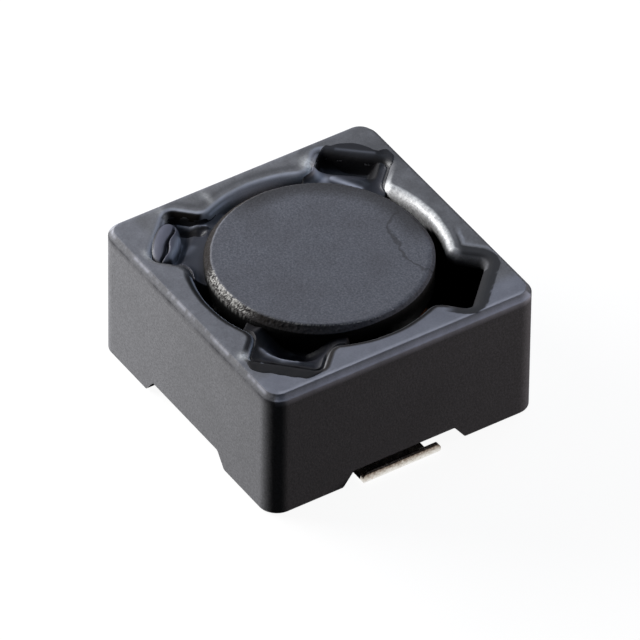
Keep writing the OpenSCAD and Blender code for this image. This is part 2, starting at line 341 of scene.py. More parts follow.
def notch_tool(turn):
    """Long prism with the outline of a notch, through both opposite walls."""
    slope = math.atan2(NOTCH_H, NOTCH_SLOPE)
    foot = NOTCH_ROUND * math.tan(slope / 2)
    half_top, half_low = NOTCH_W / 2, NOTCH_W / 2 + NOTCH_SLOPE
    half = [(half_low + foot, -1.0)]
    for a in np.linspace(1.5 * math.pi, 1.5 * math.pi - slope, 7):
        half.append((half_low + foot + NOTCH_ROUND * math.cos(a), NOTCH_ROUND + NOTCH_ROUND * math.sin(a)))
    for a in np.linspace(math.pi / 2 - slope, math.pi / 2, 7):
        half.append((half_top - foot + NOTCH_ROUND * math.cos(a),
                     NOTCH_H - NOTCH_ROUND + NOTCH_ROUND * math.sin(a)))
    outline = half + [(-x, z) for x, z in reversed(half)]
    n = len(outline)
    length = HALF_W + 1
    near = [(x, -length, z + STANDOFF) for x, z in outline]
    far = [(x, length, z + STANDOFF) for x, z in outline]
    faces = ring_faces(2, n) + [tuple(range(n)), tuple(range(2 * n - 1, n - 1, -1))]
    points = np.array(near + far)
    if turn:
        points = np.column_stack([-points[:, 1], points[:, 0], points[:, 2]])
    return make_mesh("notch_tool", points, faces)


def uneven(along, depth):
    """Slow variation along an edge, between 1 - depth and 1."""
    wave = np.sin(9.1 * along) * np.sin(3.3 * along + 1) + np.sin(1.7 * along + 2)
    return 1 - depth * (0.5 - 0.25 * wave)


def ring_places(obj):
    """Where the ring's vertices are: theta is the angle on the rolled rim, 0 at the wall and 90 on top."""
    points = vertices_mm(obj)
    at = SimpleNamespace(normal=vertex_normals(obj))
    at.x, at.y, at.z = points.T
    at.s, at.t = into_pocket(points)
    at.distance = wall_distance(at.s, at.t)
    at.turn = np.degrees(np.arctan2(at.y, at.x)) % 360
    at.theta = np.degrees(np.arcsin(np.clip((at.z - SHIELD_TOP + RIM_ROLL) / RIM_ROLL, 0, 1)))
    at.high = smooth(SHIELD_TOP - 0.50, SHIELD_TOP - 0.40, at.z)
    at.rolled = smooth(-RIM_ROLL * 1.25, -RIM_ROLL * 0.8, at.distance) * at.high
    return at


# Painted highlight spots: centre x and y, radii along x and y, and level
HIGHLIGHT_SPOTS = (
    ((-4.98, 2.82), (0.42, 0.30), 1.5),
    ((3.32, -5.62), (0.20, 0.26), 1.1),
    ((-3.76, -5.60), (0.30, 0.15), 0.7),
    ((-5.55, -3.75), (0.35, 0.16), 0.4),
    ((-5.50, -1.75), (0.45, 0.14), 0.35),
)


def painted_highlights(at, stretch):
    """Painted highlights, pale and speckled, along one stretch of the rim and in a few spots."""
    lowest = SHIELD_TOP - 0.35 - 0.5 * smooth(78, 98, at.turn)
    white = (stretch * (at.distance > -0.4) * smooth(lowest - 0.1, lowest + 0.05, at.z)
             * smooth(86, 78, at.theta))
    for (x, y), (radius_x, radius_y), level in HIGHLIGHT_SPOTS:
        spot = bell(at.x, x, radius_x) * bell(at.y, y, radius_y)
        white = np.maximum(white, np.clip(level * spot, 0, 1) * (at.z > SHIELD_TOP - 0.45))
    return white


def light_lines(at, stretch, outline, stain):
    """Lines of light: on the rim's crest, low on its near side, on one wall and beside the stain."""
    toward_x = smooth(0.0, 0.3, at.normal[:, 0])
    toward_y = smooth(-0.1, 0.25, at.normal[:, 1]) * (1 - 0.7 * smooth(0.5, 0.9, -at.normal[:, 0]))
    beam = between(at.theta, (44, 70), (84, 90)) * toward_x
    sliver = between(at.theta, (32, 38), (47, 52)) * toward_y
    line = (at.rolled * np.clip(beam + sliver, 0, 1) * (1 - stretch) * (1 - stain)
            * uneven(at.x + at.y, 0.4))
    wall = (0.35 * (at.x < -3) * smooth(3.6, 3.2, np.abs(at.y)) * smooth(65, 50, at.theta)
            * (at.z > SHIELD_TOP - 1.2) * (at.distance > -0.42))
    glint = (0.5 * (at.x > 0) * (at.y > 0) * at.high * bell(outline, -0.74, 0.07) * smooth(0.7, 1.0, at.t)
             * between(at.s, (4.8, 5.2), (6.5, 6.9)) * uneven(3 * (at.x - at.y), 0.6))
    return np.maximum(np.maximum(line, glint), wall)


def paint_rim(obj, at):
    """Paints the rolled rim and the walls under it: painted highlights, painted shade and a dark stain at one
    pocket.
    """
    stretch = between(at.turn, (62, 65), (116, 119))
    white = painted_highlights(at, stretch)
    outline = at.distance + 0.03 * np.sin(11 * at.t) * np.sin(5 * at.t + 1)
    stain = ((at.x > 0) * (at.y > 0) * at.high * smooth(-0.64, -0.58, outline)
             * smooth(5.4, 5.9, at.s + 0.25 * np.maximum(at.t, 0)))
    near = smooth(0.0, 0.3, np.cos(np.radians(at.turn - 325)))
    shadow = 0.9 * near * between(at.theta, (50, 56), (80, 88)) * (1 - stain)
    # Painted shade under the rolled rim, in the undercut at the left pocket's side
    cave = ((at.x < 0) * (at.y < 0) * smooth(1.0, 1.15, -at.t) * smooth(5.0, 5.2, at.s)
            * smooth(68, 58, at.theta))
    border = 0.75 * stain * bell(outline, -0.585, 0.045)
    unlit = 1 - 0.9 * between(at.turn, (145, 160), (203, 215))
    # Painted highlights: pale, speckled ferrite where the far stretch of the rim and a few spots catch the
    # lamp
    paint(obj, "white", white)
    paint(obj, "line", light_lines(at, stretch, outline, stain))
    # Painted shade on the near side of the rim and in the undercut, together with the stain's dark border
    paint(obj, "dark", np.maximum(at.rolled * np.maximum(shadow, cave), border))
    paint(obj, "stain", stain * (1 - 0.65 * smooth(62, 45, at.theta) * (at.t > 0.9)))
    # Painted shade: the walls far down in the hole are near black, less where they face the lamp
    paint(obj, "painted_deep_shade", smooth(-0.02, 0.0, at.distance) * (1 - at.high) * unlit * (1 - white))


def paint_top(obj, at):
    """Paints the flat top and the chamfer round it, with painted highlights, shade and bluish sheen."""
    depth = SHIELD_TOP - at.z
    reach = np.maximum(np.abs(at.x), np.abs(at.y))
    outside = smooth(TOP_CHAMFER * 1.6, TOP_CHAMFER * 1.2, HALF_W - reach)
    # Painted highlights along the chamfer's edges: strong on the +X side, weaker on -X, broken on the front
    on_front = -at.y > np.abs(at.x)
    on_x = (at.x > np.abs(at.y)) + 0.3 * (-at.x > np.abs(at.y))
    share = 0.35 + 0.50 * smooth(0.0, 0.20, depth) + 0.10 * bell(depth, 0.22, 0.04)
    patchy = smooth(0.35, 0.75, uneven(1.3 * at.x + 4.2, 1.0))
    edge = share * uneven(at.x + at.y, 0.35) * on_x + 0.50 * on_front * patchy * bell(depth, 0.07, 0.05)
    # Painted shade: a dark broken line at the chamfer's lower edge on the front and back faces, and a darker
    # band on the front chamfer
    seam = bell(depth, 0.225, 0.04) * (np.abs(at.y) > np.abs(at.x)) * uneven(at.x + at.y, 0.7)
    front_band = 0.25 * on_front * (depth > 0.005) * (depth < 0.3)
    # Painted shade on the top: a strip beside the hole on the -X side, a band toward the back and the back
    # corner
    strip = ((np.abs(at.distance + 0.6) < 0.6) * bell(at.distance, -0.62, 0.16)
             * (at.x < -4) * (np.abs(at.y) < 3.5))
    back = 0.35 * smooth(4.9, 5.6, at.y) * smooth(5.5, 4.0, np.abs(at.x))
    corner = 0.5 * smooth(8.2, 9.6, at.y - at.x)
    paint(obj, "level", smooth(SHIELD_TOP - 0.02, SHIELD_TOP, at.z))
    paint(obj, "edge", outside * (depth < 0.27) * edge)
    paint(obj, "seam", outside * np.maximum(seam, front_band))
    paint(obj, "painted_shade", np.clip(strip + back + corner, 0, 1))
    # Painted bluish sheen of a bluish sky on the top's +X strip, less on the front strip
    paint(obj, "painted_blue_sheen", np.clip(smooth(4.6, 5.2, at.x) + 0.35 * smooth(-4.6, -5.2, at.y), 0, 1))


# ---- Drum core ----

def build_drum():
    """Turned drum core; its upper rim is a rough, chipped chamfer."""
    n, steps = 720, 9
    angle = np.arange(n) / n * 2 * math.pi
    turn = np.degrees(angle)
    signed = np.where(turn > 180, turn - 360, turn)
    bevel = DRUM_RIM * (1 - 0.55 * smooth(-35, 5, signed) * smooth(85, 60, signed))
    slot_low, slot_high = DRUM_LOW + LOW_FLANGE, DRUM_TOP - TOP_FLANGE
    inner_r = DRUM_R - DRUM_EDGE
    below = [(AXIS_R, DRUM_LOW), (POST_R, DRUM_LOW), (inner_r, DRUM_LOW), (DRUM_R, DRUM_LOW + DRUM_EDGE),
             (DRUM_R, slot_low - DRUM_EDGE), (inner_r, slot_low), (POST_R, slot_low),
             (POST_R, slot_high), (inner_r, slot_high),
             (DRUM_R, slot_high + DRUM_EDGE), (DRUM_R, DRUM_TOP - DRUM_RIM - 0.2)]
    chamfer = [(DRUM_R - DRUM_RIM * (1 - rise), DRUM_TOP - DRUM_RIM * rise)
               for rise in np.linspace(1, 0, steps + 1)]
    above = [(r, DRUM_TOP) for r in (DRUM_R - DRUM_RIM - 0.06, DRUM_R - 0.7, DRUM_R - 1.2, 2.0, AXIS_R)]
    profile = below + chamfer + above
    chips = 0.5 * noise_1d(n, 90, 11) + 0.5 * noise_1d(n, 200, 12)
    speck = np.random.default_rng(4).random((64, n))
    # Real chips on the front-left rim, painted pale where they sparkle, and a painted highlight along the
    # crest
    worn = smooth(246, 256, turn) * smooth(296, 282, turn)
    crest_glints = smooth(295, 310, turn) + 0.5 * smooth(125, 140, turn) * smooth(215, 195, turn)
    ground = (1 - 0.65 * smooth(-60, 0, signed)) * (1 - 0.25 * smooth(170, 150, turn) * (turn > 90))
    behind = smooth(60, 85, turn) * smooth(215, 180, turn)
    rings, masks = [], {"rim": [], "chip_glint": [], "side": [], "painted_shade": []}
    for i, (r, z) in enumerate(profile):
        k = i - len(below)
        ring_r, ring_z = np.full(n, r), np.full(n, z)
        if 0 <= k <= steps:
            share = k / steps
            hump = math.sin(math.pi * share)
            rough = 0.035 * hump * np.roll(chips, 7 * k) + 0.02 * hump * noise_1d(n, 240, 20 + k)
            edge = 0.05 * noise_1d(n, 60, 5) * share ** 2
            ring_r = np.minimum(DRUM_R - bevel * share + (rough - np.abs(edge)) * 0.7, DRUM_R)
            ring_z = np.minimum(DRUM_TOP - bevel * (1 - share) + rough * 0.7, DRUM_TOP)
        rings.append(np.column_stack([ring_r * np.cos(angle), ring_r * np.sin(angle), ring_z]))
        on_rim = float(0 <= k < steps)
        # The ring just under the top edge carries the painted highlight, broken into bits
        crest = 0.55 if k == steps - 1 else 0.0
        flecks = worn * smooth(0.35, 0.9, speck[i]) * (0.3 + 0.7 * (k > 2))
        masks["rim"].append(on_rim * ground * (0.85 + 0.15 * speck[i - 1]) * (1 - crest))
        masks["chip_glint"].append(on_rim * np.clip(flecks + crest * smooth(0.2, 0.8, speck[i]) * crest_glints, 0, 1))
        # Painted shade: the drum's side, in the gap under the ring, is near black
        masks["side"].append(np.full(n, float(DRUM_LOW + 0.2 < z < DRUM_TOP - DRUM_RIM + 0.01)))
        # Painted shade near the drum's rim toward the back
        masks["painted_shade"].append(smooth(3.3, 4.1, r) * behind)
    last = (len(rings) - 1) * n
    faces = ring_faces(len(rings), n)
    faces += [tuple(range(n - 1, -1, -1)), tuple(range(last, last + n))]
    obj = make_mesh("drum_body", np.vstack(rings), faces, 50)
    for name, values in masks.items():
        paint(obj, name, np.concatenate(values))
    return obj


# ---- Adhesive ----

Adhesive = namedtuple("Adhesive", "name turn height node gleams pale crowned shaded")
GLUE_DEPTH = 1.2
GLUE_HALF_T = 2.45
GLUE_FAR = 7.75
GLUE_INSET = 0.35


def wall_distance(s, t):
    """Distance to the hole's wall in a pocket's own plane, positive inside the hole."""
    points, _ = pocket_outline()
    flat = np.column_stack([s.ravel(), t.ravel()])
    best = np.full(len(flat), 1e9)
    inside = np.zeros(len(flat), dtype=bool)
    closed = np.vstack([points, [[0.0, 0.0]], points[:1]])
    for a, b in zip(closed[:-1], closed[1:]):
        if a.any() and b.any():
            ab = b - a
            u = np.clip(((flat - a) @ ab) / (ab @ ab), 0, 1)
            best = np.minimum(best, np.linalg.norm(flat - a - u[:, None] * ab, axis=1))
        crosses = (a[1] > flat[:, 1]) != (b[1] > flat[:, 1])
        with np.errstate(divide="ignore", invalid="ignore"):
            at = a[0] + (flat[:, 1] - a[1]) * (b[0] - a[0]) / (b[1] - a[1])
        inside ^= crosses & (flat[:, 0] < at)
    return np.where(inside, best, -best).reshape(s.shape)


def shield_surface(distance):
    """Height of the ring's rolled edge and top at a distance from the hole's wall."""
    out = np.clip(RIM_ROLL + distance, 0, RIM_ROLL)
    roll = SHIELD_TOP - RIM_ROLL + np.sqrt(np.maximum(RIM_ROLL ** 2 - out ** 2, 0))
    return np.where(distance > 0, SHIELD_TOP - RIM_ROLL - 6 * distance, roll)


def blob(s, t, centre, radii, turn=0.0):
    """1 at a centre, falling to 0 at an ellipse of the given radii."""
    c, k = math.cos(turn), math.sin(turn)
    x, y = s - centre[0], t - centre[1]
    q = ((c * x + k * y) / radii[0]) ** 2 + ((c * y - k * x) / radii[1]) ** 2
    return np.clip(1 - q, 0, None)


def soft_max(a, b, width):
    """Larger of two heights, with a fillet where they meet."""
    h = np.clip(0.5 + (a - b) / (2 * width), 0, 1)
    return b + (a - b) * h + width * h * (1 - h)


def adhesive_patch(body):
    """Closed body whose upper side is a height over a pocket's plane and whose under side is flat."""
    rows, cols = 150, 170
    low = SHIELD_TOP - GLUE_DEPTH
    t = np.linspace(-GLUE_HALF_T, GLUE_HALF_T, cols)
    s_near = np.sqrt((DRUM_R - 0.12) ** 2 - t ** 2)
    s_far = np.minimum(GLUE_FAR, (HALF_W - GLUE_INSET) * math.sqrt(2) - np.abs(t))
    s = s_near[None, :] + (s_far - s_near)[None, :] * np.linspace(0, 1, rows)[:, None]
    t = np.broadcast_to(t, s.shape)
    distance = wall_distance(s, t)
    top = np.clip(np.minimum(body.height(s, t, distance), DRUM_TOP - 0.01), low + 0.05, None)
    a = math.radians(body.turn)
    flat = np.array([[math.cos(a), math.sin(a)], [-math.sin(a), math.cos(a)]])
    plan = np.column_stack([s.ravel(), t.ravel()]) @ flat
    upper = np.column_stack([plan, top.ravel()])
    lower = np.column_stack([plan, np.full(len(plan), low)])
    count = rows * cols
    faces = [(q, q + cols, q + cols + 1, q + 1)
             for i in range(rows - 1) for q in range(i * cols, i * cols + cols - 1)]
    edge = (list(range(cols)) + [i * cols + cols - 1 for i in range(1, rows)]
            + [(rows - 1) * cols + j for j in range(cols - 2, -1, -1)]
            + [i * cols for i in range(rows - 2, 0, -1)])
    for k in range(len(edge)):
        m = (k + 1) % len(edge)
        faces.append((edge[k], edge[m], count + m, count + k))
    faces.append(tuple(range(count + len(edge) - 1, count - 1, -1)))
    obj = make_mesh(body.name, np.vstack([upper, lower[edge]]), faces, 60)
    paint_adhesive(obj, body, s, t, distance, top, len(edge))
    return obj


def paint_adhesive(obj, body, s, t, distance, top, low_count):
    """Paints the film on the ferrite, a painted sheen on the highest parts, the painted highlights and
    painted shade on steep slopes.
    """
    film = np.where(distance < 0, 1 - smooth(0.02, 0.12, top - shield_surface(distance)), 0.0)
    # Painted sheen: the highest parts of the adhesive are made paler
    crown = body.crowned * smooth(SHIELD_TOP - 0.22, SHIELD_TOP - 0.04, top) * (1 - film)
    gleam = np.zeros_like(s)
    for line, width, level in body.gleams:
        gleam = np.maximum(gleam, level * bell(line_distance(s, t, line), 0, width))
    down, across = np.gradient(top)
    slope = np.hypot(down / np.hypot(*[np.gradient(c, axis=0) for c in (s, t)]),
                     across / np.hypot(*[np.gradient(c, axis=1) for c in (s, t)]))
    # Painted shade on steep slopes and in each adhesive's shaded places, which are also made rougher
    steep = np.clip(np.maximum(smooth(0.7, 1.6, slope), body.shaded(s, t)), 0, 1)
    # Less pale near t = -0.95, in the hollow and at the pit's end: painted shade
    pale = body.pale * np.where(distance > 0, 1.0, 0.6) * (1 - 0.8 * bell(t, -0.95, 0.25))
    for name, values, low_value in (("film", film, 0.0), ("crown", crown, 0.0), ("gleam", gleam, 0.0),
                                    ("steep", steep, 1.0), ("pale", pale, 0.0)):
        paint(obj, name, np.concatenate([values.ravel(), np.full(low_count, low_value)]))


def line_distance(s, t, line):
    """Distance to a line through points in a pocket's plane."""
    best = np.full(s.shape, 1e9)
    for (s0, t0), (s1, t1) in zip(line[:-1], line[1:]):
        ds, dt = s1 - s0, t1 - t0
        u = np.clip(((s - s0) * ds + (t - t0) * dt) / (ds * ds + dt * dt), 0, 1)
        best = np.minimum(best, np.hypot(s - s0 - u * ds, t - t0 - u * dt))
    return best


def film_edge(s, t, distance, reach, ragged, seed):
    """Film on the rolled edge: positive thickness where it covers the ferrite, negative past its edge."""
    rng = np.random.default_rng(seed)
    wobble = np.zeros_like(s)
    for _ in range(7):
        k, m, p = rng.normal(0, 4.5, 3)
        wobble += np.sin(k * s + m * t + p)
    past = -distance - reach - ragged * wobble / 3
    return np.where(past < 0, 0.022 * np.sqrt(np.clip(-past / 0.12, 0, 1)), -0.5 * past)


def pool(d, floor, climb, width):
    """Level pool that climbs the walls of its pocket, and ends under the ring's surface."""
    return floor + climb * np.exp(-np.clip(d, 0, None) / width) - 2 * np.clip(-d, 0, None)


def sunk_ends(t, start, end):
    """Drop that takes an adhesive's two ends out of sight, along the gap round the drum."""
    return 1.4 * smooth(start, end, np.abs(t))


# Centre, radii and turn of the bead
BEAD = ((6.15, 0.30), (0.62, 1.26), 0.10)


def seamed_shade(s, t):
    """Painted shade of the hollow and of the crease round the bead."""
    bead = blob(s, t, *BEAD)
    crease = smooth(0.0, 0.03, bead) * smooth(0.24, 0.08, bead)
    return np.maximum(1.6 * blob(s, t, (5.5, -0.95), (0.55, 0.30)), crease)


def rear_shade(s, t):
    """Painted shade of the pit and of its right end."""
    right_end = blob(s, t, (5.95, -0.90), (0.75, 0.30))
    pit = blob(s, t, (5.9, 0.1), (0.42, 1.1))
    return np.maximum(1.8 * right_end, 0.5 * pit)


def front_shade(s, t):
    """Painted shade of the lapping film all round the fold."""
    return 0.8 * smooth(6.12, 6.30, s) + 0.9 * smooth(-0.85, -1.15, t) + 0.8 * smooth(1.25, 1.5, t)


def seamed_height(s, t, d):
    """Sheet with a split bead that laps over the ring at the pocket's end, and a hollow beside it."""
    sheet = SHIELD_TOP - 0.34 - 0.16 * smooth(5.15, 5.55, s) + 0.05 * np.sin(2.0 * t + 0.6)
    z = pool(d, sheet, 0.30 * smooth(-0.9, 0.4, t), 0.20)
    z = z + 0.10 * bell(t, -1.26, 0.06) * smooth(0.80, 0.6, np.abs(s - 5.40))
    z = z - 0.22 * bell(t, -0.95, 0.20) * smooth(0.75, 0.4, np.abs(s - 5.45))
    reach = 0.06 + 0.20 * smooth(-0.2, 1.0, t) * smooth(6.5, 5.9, s) - sunk_ends(t, 2.0, 2.3)
    z = soft_max(z - sunk_ends(t, 2.15, 2.4), shield_surface(d) + film_edge(s, t, d, reach, 0.03, 3), 0.10)
    bead = blob(s, t, *BEAD)
    lump = SHIELD_TOP - 0.34 + 0.40 * bead ** 0.30
    seam_s = 6.00 + 0.02 * (t - 0.3) + 0.035 * np.sin(5.2 * t)
    split = bell(s, seam_s, 0.035 + 0.05 * bell(t, 0.75, 0.35))
    lump = lump - 0.20 * split * smooth(1.20, 0.8, np.abs(t - 0.45))
    return np.where(bead > 0, soft_max(z, lump, 0.05), z)


def rear_height(s, t, d):
    """Ridge of adhesive against the drum, a deep hollow behind it, and a wetted end wall."""
    ridge = SHIELD_TOP - 0.24 - 0.06 * t ** 2 + 0.08 * bell(s, 5.22, 0.16) * smooth(1.0, 0.4, np.abs(t))
    drop = 0.66 + 0.05 * np.cos(3 * t)
    drop = drop * smooth(-1.10, -0.60, t) * smooth(5.42, 5.80, s + 0.05 * np.sin(3 * t))
    z = pool(d, ridge - drop, 0.16 + 0.2 * smooth(0.2, 0.8, t), 0.16)
    reach = 0.02 + 0.42 * smooth(6.1, 6.5, s) * smooth(1.45, 1.2, t) + 0.30 * smooth(-0.6, -1.3, t)
    reach = reach + 0.34 * blob(s, t, (6.95, 0.05), (1.2, 0.95)) - sunk_ends(t, 1.5, 1.8)
    film = shield_surface(d) + film_edge(s, t, d, reach, 0.05, 5)
    return soft_max(z - sunk_ends(t, 1.65, 1.95), film, 0.10)


def front_height(s, t, d):
    """Sheet that sags from the ring's edge over a curved fold into the gap round the drum."""
    fold = np.hypot((s - 4.85) / 1.20, (t - 0.15) / 1.65) - 1
    sheet = SHIELD_TOP - 0.26 - 0.90 * smooth(0.02, -0.88, fold)
    sheet = sheet + 0.08 * bell(fold, 0.02, 0.09) * smooth(1.3, 0.4, t)
    z = pool(d, sheet, 0.16, 0.20) - sunk_ends(t, 2.0, 2.3)
    lap = 0.14 + 0.60 * smooth(6.2, 6.7, s) * smooth(1.9, 0.9, np.abs(t))
    lap = lap - 0.16 * smooth(-1.2, -1.4, t) * smooth(6.8, 6.5, s)
    film = shield_surface(d) + film_edge(s, t, d, lap - sunk_ends(t, 1.9, 2.2), 0.05, 8)
    return soft_max(z, film, 0.20)


# Points s and t of each painted highlight, its width and its level
SEAMED_GLEAMS = (
    (((5.98, -1.26), (5.48, -1.25), (5.09, -1.28), (4.90, -1.40)), 0.05, 0.9),
    (((5.68, 1.10), (5.62, 0.6), (5.64, -0.05)), 0.10, 1.0),
    (((6.75, 0.75), (6.72, 0.95)), 0.12, 0.30),
    (((5.10, 0.1), (5.25, 0.5)), 0.15, 0.25),
)
REAR_GLEAMS = (
    (((5.13, 0.62), (4.98, 0.0), (4.83, -0.62)), 0.10, 0.90),
    (((5.35, 1.30), (5.05, 0.9)), 0.20, 0.90),
    (((6.68, 0.76), (6.72, 0.0), (6.77, -0.77)), 0.06, 0.18),
)
FRONT_GLEAMS = (
    (((5.62, -1.05), (5.84, -0.72), (6.05, -0.14), (6.0, 0.40)), 0.11, 0.65),
    (((6.49, -0.92), (6.49, -0.88)), 0.04, 1.0),
)


ADHESIVES = (
    Adhesive("seamed_bead", 225, seamed_height, "adhesive_seamed", SEAMED_GLEAMS, 0.7, 1.0, seamed_shade),
    Adhesive("rear_pool", 135, rear_height, "adhesive_rear", REAR_GLEAMS, 0.3, 0.4, rear_shade),
    Adhesive("front_pool", 315, front_height, "adhesive_front", FRONT_GLEAMS, 0.0, 0.0, front_shade),
)


# ---- Materials ----

class Look:
    """A node material in the making, with its shader and the nodes that the materials share."""

    def __init__(self, name):
        self.mat = bpy.data.materials.new(name)
        self.mat.use_nodes = True
        self.nodes, self.links = self.mat.node_tree.nodes, self.mat.node_tree.links
        self.shader = self.nodes["Principled BSDF"]
        self.coords = self.nodes.new("ShaderNodeTexCoord").outputs["Object"]

    def feed(self, socket, value):
        """Links an output to a socket, or gives the socket a number or a colour."""
        if isinstance(value, bpy.types.NodeSocket):
            self.links.new(value, socket)
        else:
            socket.default_value = (*value, 1) if isinstance(value, tuple) else value

    def set(self, **inputs):
        """Feeds the shader's inputs, named with underscores for spaces."""
        for name, value in inputs.items():
            self.feed(self.shader.inputs[name.replace("_", " ")], value)

    def noise(self, per_mm, detail, roughness=0.55):
        """Noise in the object's own coordinates, with its scale in cells per millimetre."""
        node = self.nodes.new("ShaderNodeTexNoise")
        node.inputs["Scale"].default_value = per_mm / MM
        node.inputs["Detail"].default_value = detail
        node.inputs["Roughness"].default_value = roughness
        self.links.new(self.coords, node.inputs["Vector"])
        return node.outputs["Fac"]

    def grain(self):
        """Fine speckle of pressed and sintered powder."""
        return self.noise(11, 2, 0.8)

    def ramp(self, fac, stops):
        """Colours, or plain levels, at stops along a factor."""
        node = self.nodes.new("ShaderNodeValToRGB")
        self.links.new(fac, node.inputs["Fac"])
        elements = node.color_ramp.elements
        while len(elements) < len(stops):
            elements.new(0.5)
        for element, (position, colour) in zip(elements, stops):
            element.position = position
            element.color = (*colour, 1) if isinstance(colour, tuple) else (colour, colour, colour, 1)
        return node.outputs["Color"]

    def bump(self, height, strength, distance, normal=None):
        """Bumps of a height in millimetres, on top of an earlier normal."""
        node = self.nodes.new("ShaderNodeBump")
        node.inputs["Strength"].default_value = strength
        node.inputs["Distance"].default_value = distance * MM
        self.links.new(height, node.inputs["Height"])
        if normal is not None:
            self.links.new(normal, node.inputs["Normal"])
        return node.outputs["Normal"]

    def painted(self, name, share=1):
        """A value painted on the mesh, times a share."""
        node = self.nodes.new("ShaderNodeAttribute")
        node.attribute_name = name
        return node.outputs["Fac"] if share == 1 else self.math("MULTIPLY", node.outputs["Fac"], share)

    def mix(self, fac, a, b):
        """Colour a where fac is 0 and b where it is 1."""
        node = self.nodes.new("ShaderNodeMix")
        node.data_type = "RGBA"
        self.links.new(fac, node.inputs["Factor"])
        self.feed(node.inputs[6], a)
        self.feed(node.inputs[7], b)
        return node.outputs[2]

    def math(self, operation, *values):
        """Result of a math node on numbers or outputs."""
        node = self.nodes.new("ShaderNodeMath")
        node.operation = operation
        for socket, value in zip(node.inputs, values):
            self.feed(socket, value)
        return node.outputs[0]


def shield_ferrite(name):
    """Grey ferrite with a thin lacquer on its flat top, and the highlights, shade and stain painted on the
    ring.
    """
    look = Look(name)
    fine = look.grain()
    level = look.painted("level")
    grey = look.ramp(fine, [(0.32, (0.160, 0.160, 0.168)), (0.5, (0.195, 0.195, 0.205)),
                            (0.68, (0.235, 0.235, 0.248))])
    broad = look.ramp(look.noise(0.35, 2), [(0.35, 0.0), (0.7, 0.25)])
    mottle = look.ramp(look.noise(1.6, 4, 0.7), [(0.38, 0.0), (0.66, 1.0)])
    lacquer = look.mix(mottle, (0.105, 0.105, 0.113), (0.200, 0.203, 0.222))
    speckled = look.ramp(look.noise(7, 3, 0.7), [(0.3, (0.42, 0.42, 0.43)), (0.6, (0.80, 0.80, 0.80))])
    colour = look.mix(broad, grey, (0.14, 0.14, 0.145))
    colour = look.mix(look.math("MULTIPLY", level, 0.55), colour, lacquer)
    # Painted bluish sheen on the top, toward the +X and front edges
    painted_blue_sheen = look.math("MULTIPLY", look.painted("painted_blue_sheen"), level)
    colour = look.mix(look.math("MULTIPLY", painted_blue_sheen, 0.4), colour, (0.26, 0.275, 0.35))
    # Layers in order: painted shade toward the back, painted lines of light, painted shade on the rim,
    # painted highlights and shade on the chamfer, pale painted highlights, a stain, painted shade low in the
    # hole
    for painted, share, over in (("painted_shade", 0.5, (0.05, 0.05, 0.055)), ("line", 1, (0.50, 0.52, 0.60)),
                                 ("dark", 1, (0.015, 0.013, 0.012)), ("edge", 1, (0.62, 0.63, 0.72)),
                                 ("seam", 1, (0.05, 0.05, 0.055)), ("white", 1, speckled),
                                 ("stain", 1, (0.045, 0.045, 0.048)), ("painted_deep_shade", 1, (0.003, 0.003, 0.003))):
        colour = look.mix(look.painted(painted, share), colour, over)
    # The painted highlights are also partly metallic
    look.set(Base_Color=colour, Metallic=look.painted("white", 0.3), Roughness=0.5, Specular_IOR_Level=0.0,
             Coat_Weight=look.math("MULTIPLY", level, 0.08), Coat_Roughness=0.5, Coat_IOR=2.3,
             Normal=look.bump(fine, 0.45, 0.02))
    return look.mat


def drum_ferrite(name):
    """Ground ferrite with a dried drop's line, a dark rough rim, pale chips, and painted shade and
    highlights.
    """
    look = Look(name)
    fine = look.grain()
    grey = look.ramp(fine, [(0.32, (0.095, 0.097, 0.112)), (0.5, (0.130, 0.133, 0.153)),
                            (0.68, (0.175, 0.179, 0.204))])
    broad = look.ramp(look.noise(0.5, 3, 0.6), [(0.4, 0.0), (0.7, 0.35)])
    colour = look.mix(broad, grey, (0.085, 0.082, 0.09))
    # Painted shade toward the back of the drum
    colour = look.mix(look.painted("painted_shade", 0.7), colour, (0.035, 0.032, 0.03))
    colour = look.mix(tide_mark(look), colour, (0.05, 0.048, 0.05))
    # Over the drum: its dark rough rim, painted shade on its side, and chips shown pale with a painted
    # sparkle
    for painted, over in (("rim", (0.017, 0.014, 0.012)), ("side", (0.003, 0.003, 0.003)),
                          ("chip_glint", (0.50, 0.49, 0.47))):
        colour = look.mix(look.painted(painted), colour, over)
    look.set(Base_Color=colour, Roughness=look.ramp(look.painted("rim"), [(0.0, 0.55), (1.0, 1.0)]),
             Specular_IOR_Level=0.12, Normal=look.bump(fine, 0.7, 0.02))
    return look.mat


def tide_mark(look):
    """Thin curved line left by a drop that dried on the drum, from 0 to 1."""
    reach = look.nodes.new("ShaderNodeVectorMath")
    reach.operation = "DISTANCE"
    look.links.new(look.coords, reach.inputs[0])
    reach.inputs[1].default_value = (1.78 * MM, 5.69 * MM, DRUM_TOP * MM)
    radius = look.math("MULTIPLY_ADD", look.noise(1.1, 2), 0.9 * MM, 2.49 * MM)
    off = look.math("ABSOLUTE", look.math("SUBTRACT", reach.outputs["Value"], radius))
    near = look.nodes.new("ShaderNodeMapRange")
    look.links.new(off, near.inputs["Value"])
    near.inputs["From Min"].default_value = 0.09 * MM
    near.inputs["From Max"].default_value = 0.02 * MM
    near.inputs["To Max"].default_value = 0.6
    return near.outputs["Result"]


